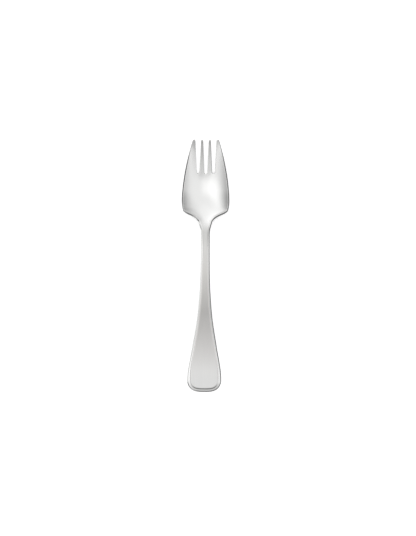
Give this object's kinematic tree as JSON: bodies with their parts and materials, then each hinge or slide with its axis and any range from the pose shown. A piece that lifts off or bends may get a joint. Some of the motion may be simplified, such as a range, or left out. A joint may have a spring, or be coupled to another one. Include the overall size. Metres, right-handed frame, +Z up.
{
  "type": "buffet fork",
  "caption": "One-piece stainless steel buffet fork with a wide dished head, slotted tapering tines, raked shoulders and an arched, bordered handle for lifting and serving food.",
  "frame": {"origin": "centre of the fork's plan on the surface that it lies on, front up", "axes": "+Y from the handle to the tips of the tines, +Z up out of the dished front, +X to the right"},
  "size_m": [0.034, 0.18, 0.016],
  "materials": {
    "steel": "polished head and edges, satin handle panel"
  },
  "bodies": {
    "root": {"fork": "steel"}
  },
  "joints": []
}
